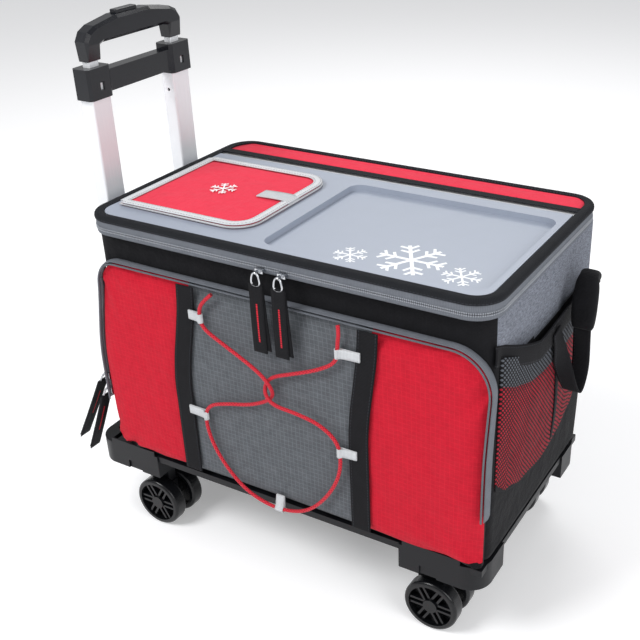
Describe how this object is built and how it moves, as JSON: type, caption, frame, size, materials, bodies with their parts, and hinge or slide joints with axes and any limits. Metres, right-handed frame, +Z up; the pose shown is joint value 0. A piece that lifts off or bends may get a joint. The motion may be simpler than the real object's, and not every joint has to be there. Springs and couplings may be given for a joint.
{
  "type": "wheeled cooler bag",
  "caption": "Rectangular soft cooler on a base with swivel casters, with a zip lid with a tray top and a hatch, a laced front pocket and a telescopic trolley handle.",
  "frame": {"origin": "on the floor, in the middle of the whole object's outline seen from above", "axes": "+Z up, +X along the bag away from the trolley handle, -Y towards the front pocket"},
  "size_m": [0.5795, 0.296, 0.5875],
  "materials": {
    "grey_fabric": "heathered woven polyester",
    "black_fabric": "plain woven polyester",
    "red_fabric": "ripstop woven polyester",
    "black_webbing": "woven nylon webbing",
    "grey_zipper": "woven zipper tape with a nylon coil",
    "light_trim": "light woven webbing and piping",
    "red_cord": "braided elastic cord",
    "red_mesh": "black mesh over red lining",
    "foam": "closed-cell foam",
    "liner": "heat-sealed liner film",
    "tray_plastic": "moulded, satin",
    "black_plastic": "moulded, lightly textured",
    "wheel": "moulded wheel with a satin tread",
    "aluminium": "satin anodised",
    "zip_metal": "nickel plated",
    "steel": "zinc plated"
  },
  "bodies": {
    "bag": {"bag_shell": "grey_fabric", "insulation_foam": "foam", "cooler_liner": "liner", "bottom_board": "black_plastic", "mouth_rim": "grey_fabric", "lid_hinge_strip": "black_fabric", "front_pocket": "red_fabric", "pocket_zipper": "grey_zipper", "front_straps": "black_webbing", "cord_loops": "light_trim", "bungee_cord": "red_cord", "side_mesh_pocket": "red_mesh", "side_band": "black_webbing", "base_frame": "black_plastic", "handle_bracket": "black_plastic", "base_screws": "steel", "front_outer_tube": "aluminium", "rear_outer_tube": "aluminium", "yoke": "black_plastic", "front_left_housing": "black_plastic", "rear_left_housing": "black_plastic", "front_right_housing": "black_plastic", "rear_right_housing": "black_plastic"},
    "lid": {"lid_core": "foam", "lid_binding": "black_webbing", "serving_tray": "tray_plastic", "back_strip": "red_fabric"},
    "hatch": {"hatch_flap": "red_fabric", "hatch_pull": "light_trim"},
    "trolley_handle": {"front_inner_tube": "aluminium", "rear_inner_tube": "aluminium", "grip": "black_plastic"},
    "release_button": {"grip_button": "black_plastic", "lock_rods": "steel"},
    "carry_handle": {"carry_strap": "black_webbing", "carry_grip": "black_webbing"},
    "front_left_caster": {"front_left_fork": "black_plastic", "front_left_axle": "steel"},
    "front_left_wheel_a": {"front_left_wheel_a": "wheel"},
    "front_left_wheel_b": {"front_left_wheel_b": "wheel"},
    "rear_left_caster": {"rear_left_fork": "black_plastic", "rear_left_axle": "steel"},
    "rear_left_wheel_a": {"rear_left_wheel_a": "wheel"},
    "rear_left_wheel_b": {"rear_left_wheel_b": "wheel"},
    "front_right_caster": {"front_right_fork": "black_plastic", "front_right_axle": "steel"},
    "front_right_wheel_a": {"front_right_wheel_a": "wheel"},
    "front_right_wheel_b": {"front_right_wheel_b": "wheel"},
    "rear_right_caster": {"rear_right_fork": "black_plastic", "rear_right_axle": "steel"},
    "rear_right_wheel_a": {"rear_right_wheel_a": "wheel"},
    "rear_right_wheel_b": {"rear_right_wheel_b": "wheel"},
    "lid_slider_left": {"lid_slider_left": "zip_metal"},
    "lid_pull_left": {"lid_pull_left": "black_webbing"},
    "lid_slider_right": {"lid_slider_right": "zip_metal"},
    "lid_pull_right": {"lid_pull_right": "black_webbing"},
    "pocket_slider_upper": {"pocket_slider_upper": "zip_metal"},
    "pocket_pull_upper": {"pocket_pull_upper": "black_webbing"},
    "pocket_slider_lower": {"pocket_slider_lower": "zip_metal"},
    "pocket_pull_lower": {"pocket_pull_lower": "black_webbing"}
  },
  "joints": [
    {"name": "lid_hinge", "type": "hinge", "parent": "bag", "child": "lid", "pos_m": [0.0166, 0.14845, 0.3893], "axis": [-1, 0, 0], "range_deg": [0, 105]},
    {"name": "hatch_hinge", "type": "hinge", "parent": "lid", "child": "hatch", "pos_m": [-0.2004, -0.01895, 0.4041], "axis": [0, -1, 0], "range_deg": [0, 95]},
    {"name": "handle_slide", "type": "slide", "parent": "bag", "child": "trolley_handle", "axis": [0, 0, 1], "range_m": [0, 0.3]},
    {"name": "button_press", "type": "slide", "parent": "trolley_handle", "child": "release_button", "axis": [0, 0, -1], "range_m": [0, 0.0025], "stiffness_N_per_m": 800},
    {"name": "carry_handle_swing", "type": "hinge", "parent": "bag", "child": "carry_handle", "pos_m": [0.2652, 0.05205, 0.326], "axis": [0, -1, 0], "range_deg": [0, 10]},
    {"name": "front_left_swivel", "type": "hinge", "parent": "bag", "child": "front_left_caster", "pos_m": [-0.1924, -0.10595, 0.07], "axis": [0, 0, 1], "continuous": true},
    {"name": "front_left_roll_a", "type": "hinge", "parent": "front_left_caster", "child": "front_left_wheel_a", "pos_m": [-0.1804, -0.12175, 0.031], "axis": [0, 1, 0], "continuous": true},
    {"name": "front_left_roll_b", "type": "hinge", "parent": "front_left_caster", "child": "front_left_wheel_b", "pos_m": [-0.1804, -0.09015, 0.031], "axis": [0, 1, 0], "continuous": true},
    {"name": "rear_left_swivel", "type": "hinge", "parent": "bag", "child": "rear_left_caster", "pos_m": [-0.1924, 0.11605, 0.07], "axis": [0, 0, 1], "continuous": true},
    {"name": "rear_left_roll_a", "type": "hinge", "parent": "rear_left_caster", "child": "rear_left_wheel_a", "pos_m": [-0.1804, 0.10025, 0.031], "axis": [0, 1, 0], "continuous": true},
    {"name": "rear_left_roll_b", "type": "hinge", "parent": "rear_left_caster", "child": "rear_left_wheel_b", "pos_m": [-0.1804, 0.13185, 0.031], "axis": [0, 1, 0], "continuous": true},
    {"name": "front_right_swivel", "type": "hinge", "parent": "bag", "child": "front_right_caster", "pos_m": [0.1796, -0.10595, 0.07], "axis": [0, 0, 1], "continuous": true},
    {"name": "front_right_roll_a", "type": "hinge", "parent": "front_right_caster", "child": "front_right_wheel_a", "pos_m": [0.1916, -0.12175, 0.031], "axis": [0, 1, 0], "continuous": true},
    {"name": "front_right_roll_b", "type": "hinge", "parent": "front_right_caster", "child": "front_right_wheel_b", "pos_m": [0.1916, -0.09015, 0.031], "axis": [0, 1, 0], "continuous": true},
    {"name": "rear_right_swivel", "type": "hinge", "parent": "bag", "child": "rear_right_caster", "pos_m": [0.1796, 0.11605, 0.07], "axis": [0, 0, 1], "continuous": true},
    {"name": "rear_right_roll_a", "type": "hinge", "parent": "rear_right_caster", "child": "rear_right_wheel_a", "pos_m": [0.1916, 0.10025, 0.031], "axis": [0, 1, 0], "continuous": true},
    {"name": "rear_right_roll_b", "type": "hinge", "parent": "rear_right_caster", "child": "rear_right_wheel_b", "pos_m": [0.1916, 0.13185, 0.031], "axis": [0, 1, 0], "continuous": true},
    {"name": "lid_zip_left", "type": "slide", "parent": "bag", "child": "lid_slider_left", "axis": [1, 0, 0], "range_m": [-0.195, 0]},
    {"name": "lid_pull_left_swing", "type": "hinge", "parent": "lid_slider_left", "child": "lid_pull_left", "pos_m": [0.0106, -0.14685, 0.387], "axis": [-1, 0, 0], "range_deg": [0, 90]},
    {"name": "lid_zip_right", "type": "slide", "parent": "bag", "child": "lid_slider_right", "axis": [1, 0, 0], "range_m": [0, 0.185]},
    {"name": "lid_pull_right_swing", "type": "hinge", "parent": "lid_slider_right", "child": "lid_pull_right", "pos_m": [0.0366, -0.14685, 0.387], "axis": [-1, 0, 0], "range_deg": [0, 90]},
    {"name": "pocket_zip_upper", "type": "slide", "parent": "bag", "child": "pocket_slider_upper", "axis": [0, 0, 1], "range_m": [0, 0.12]},
    {"name": "pocket_pull_upper_swing", "type": "hinge", "parent": "pocket_slider_upper", "child": "pocket_pull_upper", "pos_m": [-0.2346, -0.12735, 0.199], "axis": [0, 1, 0], "range_deg": [0, 60]},
    {"name": "pocket_zip_lower", "type": "slide", "parent": "bag", "child": "pocket_slider_lower", "axis": [0, 0, 1], "range_m": [0, 0.0105]},
    {"name": "pocket_pull_lower_swing", "type": "hinge", "parent": "pocket_slider_lower", "child": "pocket_pull_lower", "pos_m": [-0.2346, -0.12735, 0.179], "axis": [0, 1, 0], "range_deg": [0, 4]}
  ]
}
